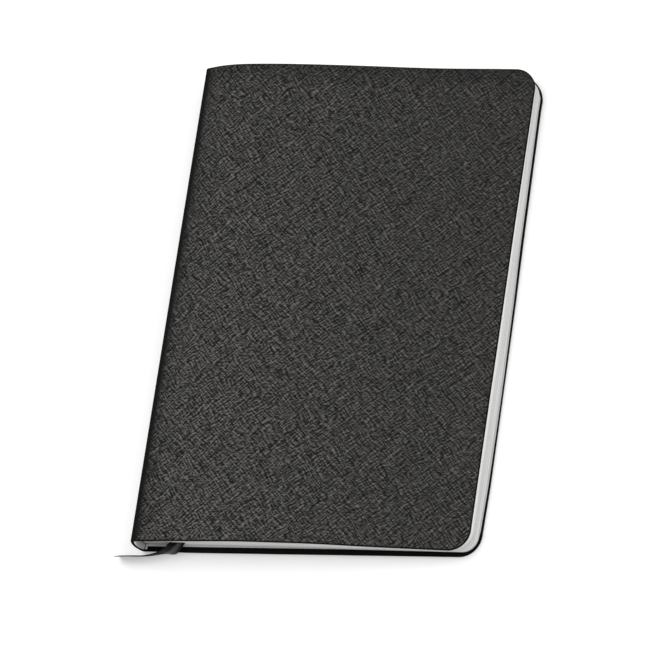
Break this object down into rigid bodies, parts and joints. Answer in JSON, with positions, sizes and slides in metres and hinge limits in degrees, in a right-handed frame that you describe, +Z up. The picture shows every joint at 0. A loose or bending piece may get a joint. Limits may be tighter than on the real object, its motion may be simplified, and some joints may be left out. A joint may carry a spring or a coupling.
{
  "type": "notebook",
  "caption": "Soft faux leather notebook lying closed, with an arched front cover, opening covers, a solid page block and a ribbon marker.",
  "frame": {"origin": "on the surface that the notebook lies on, under the middle of its covers; the ribbon's free end is not counted", "axes": "+X from the spine to the fore-edge, +Y from the tail to the head, +Z up through the front cover"},
  "size_m": [0.1586, 0.2142, 0.0168],
  "materials": {
    "cover_leather": "satin, embossed with fine crossing diagonal lines",
    "page_paper": "matte, cut edges of many leaves",
    "endpaper": "matte",
    "spine_lining": "matte",
    "spine_cloth": "matte",
    "ribbon": "satin weave"
  },
  "bodies": {
    "book_block": {"page_block": "page_paper", "front_flyleaf": "endpaper", "back_flyleaf": "endpaper", "spine_cloth": "spine_cloth", "spine_cover": "cover_leather", "spine_liner": "spine_lining", "ribbon_marker": "ribbon", "ribbon_tail": "ribbon"},
    "front": {"front_cover": "cover_leather", "front_pastedown": "endpaper"},
    "back": {"back_cover": "cover_leather", "back_pastedown": "endpaper"}
  },
  "joints": [
    {"name": "front_fold", "type": "hinge", "parent": "book_block", "child": "front", "pos_m": [-0.0728, 0, 0.01283], "axis": [0, -1, 0], "range_deg": [0, 179]},
    {"name": "back_fold", "type": "hinge", "parent": "book_block", "child": "back", "pos_m": [-0.0728, 0, 0.0005], "axis": [0, 1, 0], "range_deg": [0, 179]}
  ]
}
